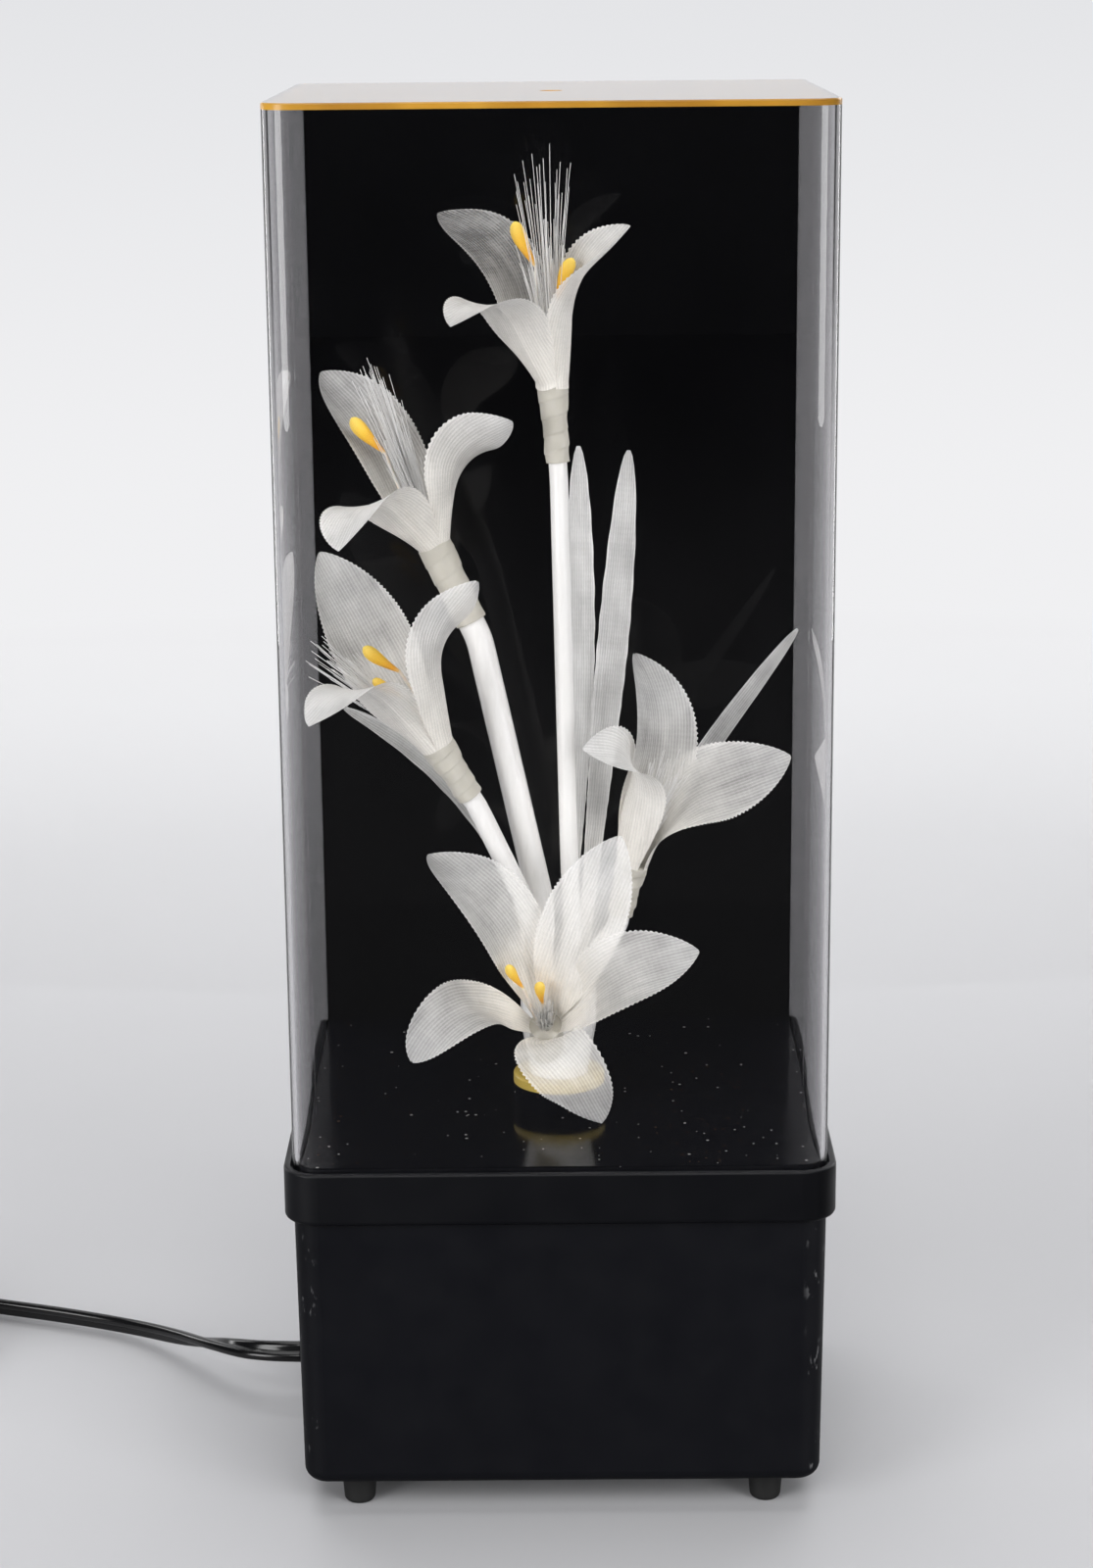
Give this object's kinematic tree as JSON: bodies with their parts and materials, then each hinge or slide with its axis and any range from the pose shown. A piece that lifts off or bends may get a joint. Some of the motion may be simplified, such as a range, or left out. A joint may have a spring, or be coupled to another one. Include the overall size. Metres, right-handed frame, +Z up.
{
  "type": "decorative flower light",
  "caption": "Fibre-optic lamp: a bouquet of sheer fabric flowers under a clear lift-off case, on a black base with a bulb, a motor-driven colour wheel and a mains cord.",
  "frame": {"origin": "on the table, under the middle of the base", "axes": "+Z up, +X to the right of the front, +Y to the back, where the dark panel and the switch are"},
  "size_m": [0.3308, 0.1423, 0.3448],
  "materials": {
    "base_plastic": "satin",
    "deck_plastic": "gloss",
    "rubber_feet": "matte",
    "steel_screws": "zinc plated",
    "steel_plate": "plain",
    "yellow_sleeve": "gloss",
    "white_film": "gloss",
    "cream_wrap": "matte",
    "petal_fabric": "sheer ribbed weave",
    "anther_foam": "matte",
    "optic_fibre": "clear",
    "leaf_film": "gloss",
    "clear_sheet": "clear",
    "back_sheet": "gloss",
    "amber_sheet": "clear amber",
    "lamp_moulding": "matte",
    "lamp_glass": "clear",
    "brass": "plain",
    "motor_can": "plain",
    "wheel_clear": "clear",
    "wheel_hub_plastic": "satin",
    "filter_red": "colour film",
    "filter_amber": "colour film",
    "filter_green": "colour film",
    "filter_blue": "colour film",
    "switch_plastic": "satin",
    "cord_vinyl": "satin",
    "lead_vinyl": "satin",
    "tie_vinyl": "matte"
  },
  "bodies": {
    "base": {"base_tub": "base_plastic", "deck_lid": "deck_plastic", "feet": "rubber_feet", "lid_screws": "steel_screws", "bundle_sleeve": "yellow_sleeve", "clamp_plate": "steel_plate", "small_screws": "steel_screws", "sleeve_clip": "steel_plate", "fibre_trunk": "white_film", "motor_body": "motor_can", "motor_screws": "steel_screws", "lamp_holder": "lamp_moulding", "bulb_cap": "brass", "bulb_glass": "lamp_glass", "holder_bracket": "steel_plate", "switch_frame": "switch_plastic", "switch_terminals": "brass", "calyx_wraps": "cream_wrap", "stamens": "anther_foam", "cord_bushing": "cord_vinyl", "cord_lead": "cord_vinyl", "cord_coil": "cord_vinyl", "coil_tie": "tie_vinyl", "plug_lead": "cord_vinyl", "plug_body": "cord_vinyl", "plug_blades": "brass", "inner_leads": "lead_vinyl", "petals_top": "petal_fabric", "fibres_top": "optic_fibre", "petals_left": "petal_fabric", "fibres_left": "optic_fibre", "petals_low_left": "petal_fabric", "fibres_low_left": "optic_fibre", "petals_right": "petal_fabric", "fibres_right": "optic_fibre", "petals_front": "petal_fabric", "fibres_front": "optic_fibre", "stem_top": "white_film", "stem_left": "white_film", "stem_low_left": "white_film", "stem_right": "white_film", "leaf_back_left": "leaf_film", "leaf_back_right": "leaf_film", "leaf_right": "leaf_film", "leaf_left": "leaf_film"},
    "cover": {"clear_walls": "clear_sheet", "back_panel": "back_sheet", "top_plate": "amber_sheet"},
    "colour_wheel": {"motor_shaft": "steel_plate", "wheel_hub": "wheel_hub_plastic", "wheel_disc": "wheel_clear", "wheel_washer": "wheel_hub_plastic", "filter_red": "filter_red", "filter_amber": "filter_amber", "filter_green": "filter_green", "filter_blue": "filter_blue"},
    "rocker": {"switch_rocker": "switch_plastic"}
  },
  "joints": [
    {"name": "cover_lift", "type": "slide", "parent": "base", "child": "cover", "axis": [0, 0, 1], "range_m": [0, 0.27]},
    {"name": "wheel_turn", "type": "hinge", "parent": "base", "child": "colour_wheel", "pos_m": [0, 0.01801, 0.072], "axis": [0, 0, 1], "continuous": true},
    {"name": "rocker_tip", "type": "hinge", "parent": "base", "child": "rocker", "pos_m": [0.04175, 0.05461, 0.04], "axis": [1, 0, 0], "range_deg": [0, 24]}
  ]
}
